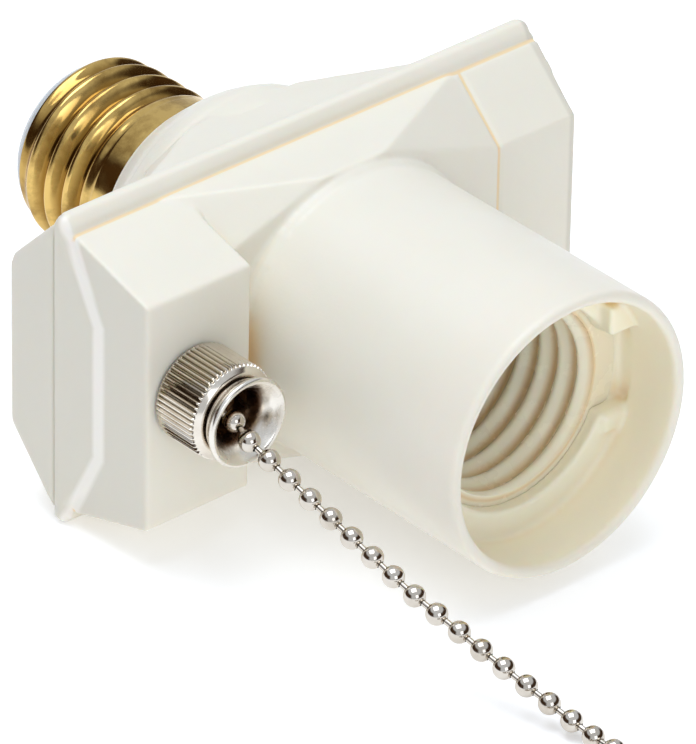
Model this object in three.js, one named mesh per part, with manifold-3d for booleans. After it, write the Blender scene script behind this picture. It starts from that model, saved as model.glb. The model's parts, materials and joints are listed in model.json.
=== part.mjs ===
// Screw-in lampholder adapter with a pull-chain switch.
// Millimetres, +Z up. The lamp axis runs along Y: screw base at +Y, lamp socket opening at -Y.
// The long direction of the body is X, with the switch at -X.
// Shapes are written in the lamp frame, whose origin is on the lamp axis. The whole lampholder is
// then moved so that its origin is at the bottom centre of its bounding box.

import * as THREE from 'three';
import { ConvexGeometry } from 'three/addons/geometries/ConvexGeometry.js';
import { mergeVertices } from 'three/addons/utils/BufferGeometryUtils.js';
import Module from 'manifold-3d';

const wasm = await Module();
wasm.setup();

// ---------------------------------------------------------------- driving dimensions

const GAP = 0.3; // between neighbouring pieces
const WALL = 2.0; // housing wall

const TIP_Y = 47.25; // end of the base contact
const MOUTH_Y = -52.75; // rim of the lamp socket
const RIM_HALF_HEIGHT = 23.25; // rib along the parting line
const LAMP_FRAME = new THREE.Vector3(0, -(TIP_Y + MOUTH_Y) / 2, RIM_HALF_HEIGHT);

const BODY_HALF_LENGTH = 40.5; // at the parting line
const FACE_HALF_LENGTH = 40.1; // at the front and rear faces
const PARTING_Y = 2.0;
const RIM_LAND_Y = 0.7; // the rib is flat from the parting plane to here
const RIM_FRONT_Y = -0.6;
const RIM_STEP = 0.3; // what is left of the rib at its front
const RIM_CORNER_RADIUS = 1.6;
const FRONT_FACE_Y = -9.3;
const REAR_FACE_Y = 11.1;
const FACE_HALF_HEIGHT = 13.1;
const SHOULDER_HALF_HEIGHT = 21.2; // top of the front chamfer
const REAR_SHOULDER_HALF_HEIGHT = 21.9;

const FAIRING = { halfLength: 26.6, ridgeHalfLength: 4.7, ridgeY: -10.4, ridgeZ: 21.2 };
const REAR_FAIRING = { halfLength: 25.4, ridgeHalfLength: 8.5, ridgeY: 12.0, ridgeZ: 20.2 };

const SLEEVE = { radius: 20.2, rootRadius: 20.7, rootY: -11.6, mouthBore: 18.5, insertBore: 17.3 };
const SLEEVE_SEGMENTS = 56;
const LEDGE = { frontY: -44.0, backY: -41.9, radius: 14.6 };

const INSERT = { radius: 17.0, frontY: -41.6, backY: -16.0, crest: 12.5, root: 13.5 };
const CARRIER = { frontY: -15.7, backY: -11.7 };

const THREAD_PITCH = 3.63;
const BASE = { startY: 23.8, threadY: 27.5, endY: 42.8, crest: 13.2, root: 12.0, inner: 11.5 };
const SPIGOT = { radius: 11.2, bore: 8.5, startY: 23.5, endY: 41.7 };

const BLOCK = { left: -39.4, right: -21.8, frontY: -15.25, frontHalfHeight: 16.8 };
// Raised plate on the left end of the front shell: [y, half height] of its corners.
const END_PLATE = { top: [1.5, 21.2], side: [-5.2, 8.9], footTop: [-0.2, 20.6], footSide: [-7.2, 10.9] };

const BELL = { x: -31.5, z: 2.0 }; // axis of the chain outlet
const CHAIN_INNER_RADIUS = 1.3;

const PULLEY_RADIUS = 5.5; // to the middle of the chain
const AXLE = { y: -2.9, z: BELL.z - PULLEY_RADIUS, radius: 1.0, bore: 1.3 };
const CAPSULE = { left: -36.6, right: -25.5, front: -11.6, back: 5.5, bottom: -12.0, top: 9.5, wall: 1.0 };
const RATCHET_TEETH = 8;

const SCREWS = [
  { name: 'housing_screw_right', x: 33.0, z: 0, headY: 8.8 },
  { name: 'housing_screw_left_upper', x: -20.5, z: 15.5, headY: 6.2 },
  { name: 'housing_screw_left_lower', x: -20.5, z: -15.5, headY: 6.2 },
];
const SCREW = { radius: 1.4, hole: 1.7, headRadius: 2.7, counterbore: 3.0, headHeight: 1.8, tipY: -5.0 };
const BOSS_RADIUS = 3.4;

// The free chain, in the frame of the whole part, from inside the outlet to the coil.
const CHAIN_ROUTE = [
  [-31.5, -17.75, 25.25],
  [-31.9, -20.25, 24.95],
  [-32.2, -22.5, 24.35],
  [-32.4, -24.75, 23.45],
  [-31.9, -28.2, 21.95],
  [-31.2, -32.8, 19.9],
  [-30.2, -38.3, 17.4],
  [-29.0, -45.0, 14.4],
  [-27.8, -51.6, 11.5],
  [-26.1, -58.2, 8.7],
  [-24.6, -64.8, 6.1],
  [-23.2, -70.2, 4.0],
  [-22.2, -74.8, 2.4],
  [-21.8, -79.2, 1.6],
  [-21.7, -82.6, 1.5],
  [-21.8, -85.7, 1.5],
];
const COIL = { x: -39.5, y: -95.5, inner: 12.6, outer: 18.7 };
const PULL_END = { x: -39.5, y: -87.1, radius: 2.7, length: 9.0 };

// ---------------------------------------------------------------- materials

const finish = (color, roughness, metalness) =>
  new THREE.MeshStandardMaterial({ color, roughness, metalness });

const ivory = finish(0xf3efdf, 0.42, 0);
const cream = finish(0xe9dfc0, 0.5, 0);
const insulator = finish(0xc9cdca, 0.3, 0);
const phenolic = finish(0x3a2a20, 0.55, 0);
const nylon = finish(0xf6f4ec, 0.5, 0);
const brass = finish(0xc9a74e, 0.25, 1);
const nickel = finish(0xc9c6c0, 0.2, 1);
const steel = finish(0xb9bcc0, 0.35, 1);
const blackWire = finish(0x1c1c1e, 0.6, 0);
const whiteWire = finish(0xe6e6e2, 0.6, 0);

// ---------------------------------------------------------------- solid helpers

// A closed geometry as a solid for joins and cuts.
function toSolid(geometry) {
  const bare = geometry.clone();
  bare.deleteAttribute('normal');
  bare.deleteAttribute('uv');
  const merged = mergeVertices(bare, 1e-4);
  return new wasm.Manifold(new wasm.Mesh({
    numProp: 3,
    vertProperties: new Float32Array(merged.attributes.position.array),
    triVerts: new Uint32Array(merged.index.array),
  }));
}

function toGeometry(solid) {
  const mesh = solid.getMesh();
  const geometry = new THREE.BufferGeometry();
  geometry.setAttribute('position', new THREE.BufferAttribute(mesh.vertProperties, 3));
  geometry.setIndex(new THREE.BufferAttribute(mesh.triVerts, 1));
  geometry.computeVertexNormals();
  return geometry;
}

const join = (...geometries) => geometries.map(toSolid).reduce((a, b) => a.add(b));

const cut = (solid, ...geometries) => geometries.map(toSolid).reduce((a, b) => a.subtract(b), solid);

// Box between two opposite corners.
function box([x0, x1], [y0, y1], [z0, z1]) {
  const geometry = new THREE.BoxGeometry(x1 - x0, y1 - y0, z1 - z0);
  return geometry.translate((x0 + x1) / 2, (y0 + y1) / 2, (z0 + z1) / 2);
}

// Revolved solid about a line parallel to Y, from an outline of [radius, y] points.
function latheY(outline, segments, x = 0, z = 0) {
  const points = outline.map(([r, y]) => new THREE.Vector2(r, y));
  if (THREE.ShapeUtils.area(points) < 0) points.reverse();
  const onAxis = points.some((p) => p.x === 0);
  if (!onAxis) points.push(points[0].clone());
  return new THREE.LatheGeometry(points, segments).translate(x, 0, z);
}

// Revolved solid about a line parallel to X, from an outline of [radius, x] points.
function latheX(outline, segments, y, z) {
  return latheY(outline, segments).rotateZ(-Math.PI / 2).translate(0, y, z);
}

const rodY = (radius, y0, y1, segments, x = 0, z = 0) =>
  latheY([[0, y0], [radius, y0], [radius, y1], [0, y1]], segments, x, z);

const rodX = (radius, x0, x1, segments, y, z) =>
  latheX([[0, x0], [radius, x0], [radius, x1], [0, x1]], segments, y, z);

const tubeY = (outer, inner, y0, y1, segments, x = 0, z = 0) =>
  latheY([[inner, y0], [outer, y0], [outer, y1], [inner, y1]], segments, x, z);

const toVector2 = ([u, v]) => new THREE.Vector2(u, v);

// Extrusion along X of an outline of [y, z] points.
function extrudeX(outline, x0, x1) {
  const shape = new THREE.Shape(outline.map(toVector2));
  const geometry = new THREE.ExtrudeGeometry(shape, { depth: x1 - x0, bevelEnabled: false });
  const yAxis = new THREE.Vector3(0, 1, 0);
  const zAxis = new THREE.Vector3(0, 0, 1);
  const xAxis = new THREE.Vector3(1, 0, 0);
  return geometry.applyMatrix4(new THREE.Matrix4().makeBasis(yAxis, zAxis, xAxis)).translate(x0, 0, 0);
}

// Extrusion along Y of a shape drawn in X and Z.
function extrudeY(shape, y0, y1) {
  const geometry = new THREE.ExtrudeGeometry(shape, { depth: y1 - y0, bevelEnabled: false });
  return geometry.rotateX(Math.PI / 2).translate(0, y1, 0);
}

// The four mirror images of a point, in x and in z.
const mirrored = ([x, y, z]) => [[x, y, z], [-x, y, z], [x, y, -z], [-x, y, -z]];

// Convex solid around a list of points.
const hull = (points) => new ConvexGeometry(points.map((p) => new THREE.Vector3(...p)));

const symmetricHull = (...points) => hull(points.flatMap(mirrored));

// Round cord or wire along a smooth curve through points.
function cordAlong(points, radius, steps, sides) {
  const knots = points.map((p) => new THREE.Vector3(...p));
  const curve = new THREE.CatmullRomCurve3(knots, false, 'centripetal');
  const section = [];
  for (let i = 0; i < sides; i += 1) {
    const angle = (2 * Math.PI * i) / sides;
    section.push(new THREE.Vector2(radius * Math.cos(angle), radius * Math.sin(angle)));
  }
  const shape = new THREE.Shape(section);
  return new THREE.ExtrudeGeometry(shape, { steps, extrudePath: curve, bevelEnabled: false });
}

// Tube about Y whose outer and inner sides are each { radiusAt(angle, y), rows }.
function wallTube(outer, inner, y0, y1, segments) {
  const positions = [];
  const index = [];
  const addRing = (radiusAt, y) => {
    for (let i = 0; i < segments; i += 1) {
      const angle = (2 * Math.PI * i) / segments;
      const r = radiusAt(angle, y);
      positions.push(r * Math.cos(angle), y, r * Math.sin(angle));
    }
  };
  const height = y1 - y0;
  for (let row = 0; row <= outer.rows; row += 1) addRing(outer.radiusAt, y0 + (height * row) / outer.rows);
  for (let row = 0; row <= inner.rows; row += 1) addRing(inner.radiusAt, y1 - (height * row) / inner.rows);
  const rings = outer.rows + inner.rows + 2;
  for (let ring = 0; ring < rings; ring += 1) {
    const here = ring * segments;
    const next = ((ring + 1) % rings) * segments;
    for (let i = 0; i < segments; i += 1) {
      const j = (i + 1) % segments;
      index.push(here + i, next + i, here + j, next + i, next + j, here + j);
    }
  }
  const geometry = new THREE.BufferGeometry();
  geometry.setAttribute('position', new THREE.Float32BufferAttribute(positions, 3));
  geometry.setIndex(index);
  geometry.computeVertexNormals();
  return geometry;
}

// Radius of a rounded screw thread between y0 and y1 that runs out into a plain radius at both ends.
function threadRadius(root, crest, plain, y0, y1) {
  const middle = (root + crest) / 2;
  const depth = (crest - root) / 2;
  return (angle, y) => {
    const fade = Math.min(1, (y - y0) / THREAD_PITCH, (y1 - y) / THREAD_PITCH);
    const turns = (y - y0) / THREAD_PITCH - angle / (2 * Math.PI);
    const thread = middle + depth * Math.cos(2 * Math.PI * turns);
    return plain + (thread - plain) * Math.max(0, fade);
  };
}

const lampholder = new THREE.Group();
lampholder.position.copy(LAMP_FRAME);

const adapter = new THREE.Group();
adapter.add(lampholder);

function add(name, shape, material, group = lampholder) {
  const geometry = shape.isBufferGeometry ? shape : toGeometry(shape);
  const mesh = new THREE.Mesh(geometry, material);
  mesh.name = name;
  group.add(mesh);
}

// ---------------------------------------------------------------- housings

// Rib along the parting line: rounded corners, flat along its crest and sloping down to the front.
function rimRib() {
  const r = RIM_CORNER_RADIUS;
  const corner = [0, 30, 60, 90].map((degrees) => {
    const angle = THREE.MathUtils.degToRad(degrees);
    return [BODY_HALF_LENGTH - r + r * Math.cos(angle), RIM_HALF_HEIGHT - r + r * Math.sin(angle)];
  });
  return symmetricHull(
    ...corner.map(([x, z]) => [x, PARTING_Y, z]),
    ...corner.map(([x, z]) => [x, RIM_LAND_Y, z]),
    [-BLOCK.left, RIM_FRONT_Y, SHOULDER_HALF_HEIGHT + RIM_STEP],
  );
}

// The left end is flush with the switch block round a plate whose edges slope down to it.
function leftEndPlate() {
  const corners = ([y, z], x) => [[x, y, z], [x, y, -z]];
  return hull([
    ...corners([PARTING_Y, SHOULDER_HALF_HEIGHT], -BODY_HALF_LENGTH),
    ...corners(END_PLATE.top, -BODY_HALF_LENGTH),
    ...corners(END_PLATE.side, -FACE_HALF_LENGTH),
    ...corners([PARTING_Y, SHOULDER_HALF_HEIGHT], BLOCK.left + 1),
    ...corners(END_PLATE.footTop, BLOCK.left),
    ...corners(END_PLATE.footSide, BLOCK.left),
    ...corners(END_PLATE.footSide, BLOCK.left + 1),
  ]);
}

// Switch block: left and right faces flat, top and bottom closing in towards the front.
function blockSolid(inset, backY, backHalfHeight) {
  const x0 = BLOCK.left + inset;
  const x1 = BLOCK.right - inset;
  const frontY = BLOCK.frontY + inset;
  const frontZ = BLOCK.frontHalfHeight - 0.8 * inset;
  const outline = [
    [backY, -backHalfHeight],
    [backY, backHalfHeight],
    [frontY, frontZ],
    [frontY, -frontZ],
  ];
  return extrudeX(outline.reverse(), x0, x1);
}

function frontOutside() {
  const wing = symmetricHull(
    [BODY_HALF_LENGTH, PARTING_Y, SHOULDER_HALF_HEIGHT],
    [BODY_HALF_LENGTH, RIM_FRONT_Y, SHOULDER_HALF_HEIGHT],
    [FACE_HALF_LENGTH, FRONT_FACE_Y, FACE_HALF_HEIGHT],
  );
  const fairing = symmetricHull(
    [FAIRING.halfLength, RIM_FRONT_Y + 0.5, SHOULDER_HALF_HEIGHT],
    [FAIRING.halfLength, FRONT_FACE_Y, FACE_HALF_HEIGHT],
    [FAIRING.ridgeHalfLength, FAIRING.ridgeY, FAIRING.ridgeZ],
  );
  const block = blockSolid(0, RIM_FRONT_Y + 0.5, SHOULDER_HALF_HEIGHT);
  const sleeve = latheY([
    [0, MOUTH_Y],
    [SLEEVE.radius - 0.5, MOUTH_Y],
    [SLEEVE.radius, MOUTH_Y + 0.5],
    [SLEEVE.radius, SLEEVE.rootY],
    [SLEEVE.rootRadius, SLEEVE.rootY + 0.4],
    [SLEEVE.rootRadius, FRONT_FACE_Y],
    [FACE_HALF_HEIGHT, RIM_FRONT_Y],
    [0, RIM_FRONT_Y],
  ], SLEEVE_SEGMENTS);
  const beyondBlock = box(
    [-BODY_HALF_LENGTH - 1, BLOCK.left],
    [FRONT_FACE_Y - 1, PARTING_Y + 1],
    [-RIM_HALF_HEIGHT, RIM_HALF_HEIGHT],
  );
  return join(rimRib(), leftEndPlate(), fairing, block, sleeve).add(cut(toSolid(wing), beyondBlock));
}

// Hollow space of the front shell, open at the parting plane.
function frontHollows() {
  const openY = PARTING_Y + 0.5;
  const hollowZ = SHOULDER_HALF_HEIGHT - WALL;
  const wing = symmetricHull(
    [BODY_HALF_LENGTH - WALL, openY, hollowZ],
    [BODY_HALF_LENGTH - WALL, 0.3, hollowZ],
    [FACE_HALF_LENGTH - WALL, FRONT_FACE_Y + WALL, FACE_HALF_HEIGHT - 1.0],
  );
  const fairing = symmetricHull(
    [FAIRING.halfLength - 3.6, openY, hollowZ],
    [FAIRING.halfLength - 4.1, FRONT_FACE_Y + WALL, FACE_HALF_HEIGHT - 1.6],
    [3.0, FAIRING.ridgeY + WALL, FAIRING.ridgeZ - 2.4],
  );
  const block = blockSolid(WALL, openY, hollowZ);
  const insertBore = rodY(SLEEVE.insertBore, LEDGE.backY, openY, 48);
  const ledgeHole = rodY(LEDGE.radius, LEDGE.frontY - 0.1, LEDGE.backY + 0.1, 48);
  const lip = 0.5;
  const mouth = latheY([
    [0, LEDGE.frontY],
    [SLEEVE.mouthBore, LEDGE.frontY],
    [SLEEVE.mouthBore, MOUTH_Y + lip],
    [SLEEVE.mouthBore + 2 * lip, MOUTH_Y - lip],
    [0, MOUTH_Y - lip],
  ], SLEEVE_SEGMENTS);
  return [wing, fairing, block, insertBore, ledgeHole, mouth];
}

function frontHousing() {
  const notch = box([13.0, SLEEVE.mouthBore], [LEDGE.frontY - 0.1, LEDGE.backY + 0.1], [-6.0, 6.4]);
  const outlet = rodY(4.7, BLOCK.frontY - 1, BLOCK.frontY + WALL + 1, 32, BELL.x, BELL.z);
  const outside = frontOutside();
  const hollow = cut(outside, ...frontHollows(), notch, outlet);
  const bosses = SCREWS.map(({ x, z }) => rodY(BOSS_RADIUS, FRONT_FACE_Y + 1, PARTING_Y, 20, x, z));
  const room = toSolid(box([-BODY_HALF_LENGTH, BODY_HALF_LENGTH], [FRONT_FACE_Y, PARTING_Y], [-20, 20]));
  const inside = outside.intersect(room);
  const fitted = bosses.map((boss) => toSolid(boss).intersect(inside));
  const joined = fitted.reduce((a, b) => a.add(b), hollow);
  const lug = toSolid(box([12.5, 19.0], [LEDGE.frontY - 2.3, LEDGE.frontY + 0.5], [6.9, 11.2]));
  const lowerLug = toSolid(box([13.6, 19.0], [LEDGE.frontY - 0.8, LEDGE.frontY + 0.5], [-9.0, -6.5]));
  const sleeveRing = toSolid(tubeY(SLEEVE.mouthBore + 0.5, LEDGE.radius, MOUTH_Y, PARTING_Y, 48));
  const lugs = lug.add(lowerLug).intersect(sleeveRing);
  const holes = SCREWS.map(({ x, z }) => rodY(SCREW.hole, FRONT_FACE_Y + 2.5, PARTING_Y + 1, 20, x, z));
  return cut(joined.add(lugs), ...holes);
}

const NECK_OUTLINE = [
  [20.9, 10.0],
  [20.9, 12.6],
  [20.5, 14.6],
  [19.1, 17.4],
  [17.5, 19.6],
  [15.9, 21.5],
  [14.6, 22.9],
  [14.0, SPIGOT.startY],
];

function rearOutside() {
  const frontY = PARTING_Y + GAP;
  const chamfer = { depth: 0.6, height: 1.4 };
  const wing = symmetricHull(
    [BODY_HALF_LENGTH, frontY, REAR_SHOULDER_HALF_HEIGHT - chamfer.height],
    [FACE_HALF_LENGTH, REAR_FACE_Y, FACE_HALF_HEIGHT - chamfer.height],
    [BODY_HALF_LENGTH - chamfer.depth, frontY, REAR_SHOULDER_HALF_HEIGHT],
    [FACE_HALF_LENGTH - chamfer.depth, REAR_FACE_Y, FACE_HALF_HEIGHT],
  );
  const fairing = symmetricHull(
    [REAR_FAIRING.halfLength, frontY, REAR_SHOULDER_HALF_HEIGHT],
    [REAR_FAIRING.halfLength, REAR_FACE_Y, FACE_HALF_HEIGHT],
    [REAR_FAIRING.ridgeHalfLength, REAR_FAIRING.ridgeY, REAR_FAIRING.ridgeZ],
  );
  const neck = latheY([
    [0, frontY + 4],
    [NECK_OUTLINE[0][0] - 4, frontY + 4],
    ...NECK_OUTLINE,
    [SPIGOT.radius, SPIGOT.startY],
    [SPIGOT.radius, SPIGOT.endY],
    [0, SPIGOT.endY],
  ], 48);
  return join(wing, fairing, neck);
}

function rearHousing() {
  const openY = PARTING_Y - 0.5;
  const hollowZ = REAR_SHOULDER_HALF_HEIGHT - 2.6;
  const backY = REAR_FACE_Y - WALL;
  const wing = symmetricHull(
    [BODY_HALF_LENGTH - WALL, openY, hollowZ],
    [FACE_HALF_LENGTH - WALL, backY, FACE_HALF_HEIGHT - 0.9],
  );
  const fairing = symmetricHull(
    [REAR_FAIRING.halfLength - 2.9, openY, hollowZ],
    [REAR_FAIRING.halfLength - 2.9, backY, FACE_HALF_HEIGHT - 1.5],
    [6.5, REAR_FAIRING.ridgeY - 1.8, 17.7],
  );
  const neck = latheY([
    [0, openY],
    [17.2, openY],
    [18.2, backY],
    [18.2, 12.4],
    [17.2, 15.2],
    [14.6, 19.0],
    [12.0, 21.0],
    [SPIGOT.bore, 21.6],
    [SPIGOT.bore, SPIGOT.endY + 1],
    [0, SPIGOT.endY + 1],
  ], 32);
  const neutralSlot = rodX(1.2, -SPIGOT.radius - 1, -SPIGOT.bore + 1, 16, 36, 0);
  const outside = rearOutside();
  const hollow = cut(outside, wing, fairing, neck, neutralSlot);
  const bosses = SCREWS.map(({ x, z }) => rodY(BOSS_RADIUS + 0.6, PARTING_Y + GAP, 14, 20, x, z));
  const fitted = bosses.map((boss) => toSolid(boss).intersect(outside));
  const joined = fitted.reduce((a, b) => a.add(b), hollow);
  const holes = SCREWS.map(({ x, z }) => rodY(SCREW.hole, PARTING_Y - 1, 14, 20, x, z));
  const counterbores = SCREWS.map(({ x, z, headY }) => rodY(SCREW.counterbore, headY - GAP, 15, 24, x, z));
  return cut(joined, ...holes, ...counterbores);
}

function housingScrew({ x, z, headY }) {
  const top = headY + SCREW.headHeight;
  const body = latheY([
    [0, SCREW.tipY],
    [0.5, SCREW.tipY],
    [SCREW.radius, SCREW.tipY + 1.5],
    [SCREW.radius, headY],
    [SCREW.headRadius, headY],
    [SCREW.headRadius, top - 0.8],
    [SCREW.headRadius - 0.9, top],
    [0, top],
  ], 20, x, z);
  const slot = 0.45;
  const along = box([x - 1.5, x + 1.5], [top - 1.1, top + 1], [z - slot, z + slot]);
  const across = box([x - slot, x + slot], [top - 1.1, top + 1], [z - 1.5, z + 1.5]);
  return cut(toSolid(body), along, across);
}

function addHousings() {
  add('front_housing', frontHousing(), ivory);
  add('rear_housing', rearHousing(), ivory);
  for (const screw of SCREWS) add(screw.name, housingScrew(screw), steel);
}

// ---------------------------------------------------------------- screw base

function addScrewBase() {
  const threads = threadRadius(BASE.root, BASE.crest, BASE.crest, BASE.threadY, BASE.endY + 1.0);
  const shellOutside = (angle, y) => {
    const curl = Math.max(0, y - (BASE.endY - 1.2)) / 1.2;
    return threads(angle, y) - 0.5 * curl * curl;
  };
  const threaded = { radiusAt: shellOutside, rows: 30 };
  const plain = { radiusAt: () => BASE.inner, rows: 1 };
  add('base_shell', wallTube(threaded, plain, BASE.startY, BASE.endY, 36), brass);

  const stemHole = 1.8;
  add('base_insulator', latheY([
    [stemHole, SPIGOT.endY + GAP],
    [SPIGOT.radius, SPIGOT.endY + GAP],
    [SPIGOT.radius, BASE.endY + GAP],
    [11.7, BASE.endY + GAP],
    [11.7, 44.0],
    [10.9, 45.1],
    [9.6, 45.7],
    [6.4, 46.5],
    [stemHole, 46.5],
  ], 28), insulator);

  add('base_tip_contact', latheY([
    [0, 41.0],
    [1.5, 41.0],
    [1.5, 46.8],
    [5.2, 46.8],
    [5.2, TIP_Y - 0.2],
    [4.8, TIP_Y],
    [0, TIP_Y],
  ], 28), brass);
}

// ---------------------------------------------------------------- lamp socket

const RIVETS = { centre: { x: 0, z: -7.5 }, side: { x: -9.0, z: 0 }, radius: 1.2, hole: 1.5, head: 1.9 };

// Rivet through the contact carrier, with a head on each side.
function carrierRivet({ x, z }) {
  const front = CARRIER.frontY - 1.2;
  const back = CARRIER.backY + GAP;
  return latheY([
    [0, front - 0.7],
    [RIVETS.head, front - 0.7],
    [RIVETS.head, front],
    [RIVETS.radius, front],
    [RIVETS.radius, back],
    [RIVETS.head, back],
    [RIVETS.head, back + 0.8],
    [0, back + 0.8],
  ], 18, x, z);
}

function addLampSocket() {
  const middle = (INSERT.root + INSERT.crest) / 2;
  const threads = threadRadius(INSERT.root, INSERT.crest, middle, INSERT.frontY - 2.0, INSERT.backY);
  const plain = { radiusAt: () => INSERT.radius, rows: 1 };
  const threaded = { radiusAt: threads, rows: 35 };
  add('socket_thread_insert', wallTube(plain, threaded, INSERT.frontY, INSERT.backY, 32), cream);

  const rivetHoles = [RIVETS.centre, RIVETS.side].map(({ x, z }) =>
    rodY(RIVETS.hole, CARRIER.frontY - 1, CARRIER.backY + 1, 18, x, z));
  const disc = toSolid(rodY(INSERT.radius, CARRIER.frontY, CARRIER.backY, 36));
  add('contact_carrier', cut(disc, ...rivetHoles), phenolic);

  const thickness = 0.6;
  const flatY = CARRIER.frontY - GAP;
  const tongue = extrudeX([
    [flatY, -11.0],
    [flatY, -3.6],
    [flatY - 3.6, 0.6],
    [flatY - 3.6, 4.4],
    [flatY - 3.6 - thickness, 4.4],
    [flatY - 3.6 - thickness, 0.3],
    [flatY - thickness, -3.9],
    [flatY - thickness, -11.0],
  ], -3.0, 3.0);
  const centreHole = rodY(RIVETS.hole, flatY - 2, flatY + 1, 18, RIVETS.centre.x, RIVETS.centre.z);
  add('socket_centre_contact', cut(toSolid(tongue), centreHole), brass);

  const foot = box([-11.8, -7.2], [flatY - thickness, flatY], [-2.4, 2.4]);
  const tab = box([-11.8, -11.2], [flatY - 9.5, flatY], [-2.4, 2.4]);
  const sideHole = rodY(RIVETS.hole, flatY - 2, flatY + 1, 18, RIVETS.side.x, RIVETS.side.z);
  add('socket_side_contact', cut(join(foot, tab), sideHole), brass);

  add('centre_contact_rivet', carrierRivet(RIVETS.centre), brass);
  add('side_contact_rivet', carrierRivet(RIVETS.side), brass);
}

// ---------------------------------------------------------------- chain outlet

const NUT = { radius: 6.8, bore: 4.7, backY: BLOCK.frontY - GAP, frontY: -23.65, teeth: 56, depth: 0.3 };

function knurledNut() {
  const outline = [];
  for (let i = 0; i < 2 * NUT.teeth; i += 1) {
    const radius = NUT.radius - (i % 2) * NUT.depth;
    const angle = (Math.PI * i) / NUT.teeth;
    outline.push(new THREE.Vector2(radius * Math.cos(angle), radius * Math.sin(angle)));
  }
  const knurl = extrudeY(new THREE.Shape(outline), NUT.frontY, NUT.backY).translate(BELL.x, 0, BELL.z);
  const chamfer = 0.9;
  const envelope = latheY([
    [NUT.bore, NUT.frontY],
    [NUT.radius - chamfer, NUT.frontY],
    [NUT.radius + 0.1, NUT.frontY + chamfer],
    [NUT.radius + 0.1, NUT.backY - 0.3],
    [NUT.radius - 0.3, NUT.backY],
    [NUT.bore, NUT.backY],
  ], 40, BELL.x, BELL.z);
  return toSolid(knurl).intersect(toSolid(envelope));
}

function addChainOutlet() {
  const innerFace = BLOCK.frontY + WALL;
  add('switch_bushing', latheY([
    [2.6, -18.6],
    [4.4, -18.6],
    [4.4, innerFace + GAP],
    [5.6, innerFace + GAP],
    [5.6, innerFace + 1.2],
    [2.6, innerFace + 1.2],
  ], 28, BELL.x, BELL.z), brass);

  add('knurled_nut', knurledNut(), nickel);

  add('chain_bellmouth', latheY([
    [3.2, -18.9],
    [4.4, -18.9],
    [4.4, -23.9],
    [5.4, -24.0],
    [5.5, -24.5],
    [5.8, -25.0],
    [6.25, -25.6],
    [6.3, -26.1],
    [6.0, -26.4],
    [5.5, -26.2],
    [4.7, -25.3],
    [3.9, -24.0],
    [3.4, -22.4],
  ], 26, BELL.x, BELL.z), nickel);
}

// ---------------------------------------------------------------- switch capsule

const CAPSULE_COVER = { x0: CAPSULE.right + GAP, x1: CAPSULE.right + GAP + 1.0 };
const CAPSULE_RIVETS = [
  { name: 'capsule_rivet_upper', y: 3.1, z: 7.2 },
  { name: 'capsule_rivet_lower', y: -9.4, z: -10.0 },
];
const CONTACT = { x0: -28.2, x1: -26.0, thickness: 0.6, frontY: -6.0, backY: 7.3 };
const CONTACT_REACH = 5.7; // from the axle to each fixed contact
const CONTACTS = [
  { name: 'fixed_contact_in', z: AXLE.z + CONTACT_REACH },
  { name: 'fixed_contact_out', z: AXLE.z - CONTACT_REACH - CONTACT.thickness },
];

function switchCapsule() {
  const { left, right, front, back, bottom, top, wall } = CAPSULE;
  const outside = box([left, right], [front, back], [bottom, top]);
  const room = box([left + wall, right + 1], [front + wall, back - wall], [bottom + wall, top - wall]);
  const chainHole = rodY(1.9, front - 1, front + 2, 20, BELL.x, BELL.z);
  const axleHole = rodX(AXLE.bore, left - 1, left + 2, 20, AXLE.y, AXLE.z);
  const rivetHoles = CAPSULE_RIVETS.map(({ y, z }) => rodX(0.9, left - 1, left + 2, 14, y, z));
  const slots = CONTACTS.map(({ z }) => box(
    [CONTACT.x0 - GAP, right + 1],
    [back - 2, back + 1],
    [z - GAP, z + CONTACT.thickness + GAP],
  ));
  return cut(toSolid(outside), room, chainHole, axleHole, ...rivetHoles, ...slots);
}

function capsuleCover() {
  const { front, back, bottom, top } = CAPSULE;
  const plate = box([CAPSULE_COVER.x0, CAPSULE_COVER.x1], [front, back], [bottom, top]);
  const axleHole = rodX(AXLE.bore, CAPSULE_COVER.x0 - 1, CAPSULE_COVER.x1 + 1, 20, AXLE.y, AXLE.z);
  const rivetHoles = CAPSULE_RIVETS.map(({ y, z }) =>
    rodX(0.9, CAPSULE_COVER.x0 - 1, CAPSULE_COVER.x1 + 1, 14, y, z));
  return cut(toSolid(plate), axleHole, ...rivetHoles);
}

function capsuleRivet({ y, z }) {
  const x0 = CAPSULE.left - 0.5;
  const x1 = CAPSULE_COVER.x1 + 0.3;
  return latheX([
    [0, x0],
    [1.4, x0],
    [1.4, CAPSULE.left - 0.1],
    [0.6, CAPSULE.left - 0.1],
    [0.6, CAPSULE_COVER.x1 + 0.05],
    [1.3, CAPSULE_COVER.x1 + 0.05],
    [1.3, x1],
    [0, x1],
  ], 14, y, z);
}

function fixedContact(z) {
  const xs = [CONTACT.x0, CONTACT.x1];
  return box(xs, [CONTACT.frontY, CONTACT.backY], [z, z + CONTACT.thickness]);
}

// Saw-tooth wheel that the drive pawl turns one way.
function ratchetWheel() {
  const outline = [];
  const tip = 5.2;
  const root = 4.3;
  for (let i = 0; i < RATCHET_TEETH; i += 1) {
    const start = (2 * Math.PI * i) / RATCHET_TEETH;
    const step = (2 * Math.PI) / RATCHET_TEETH;
    outline.push([tip * Math.cos(start), tip * Math.sin(start)]);
    outline.push([root * Math.cos(start + 0.12), root * Math.sin(start + 0.12)]);
    outline.push([4.6 * Math.cos(start + step / 2), 4.6 * Math.sin(start + step / 2)]);
  }
  const wheel = extrudeX(outline, -28.1, -26.9).translate(0, AXLE.y, AXLE.z);
  return cut(toSolid(wheel), rodX(AXLE.bore, -29, -26, 20, AXLE.y, AXLE.z));
}

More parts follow.
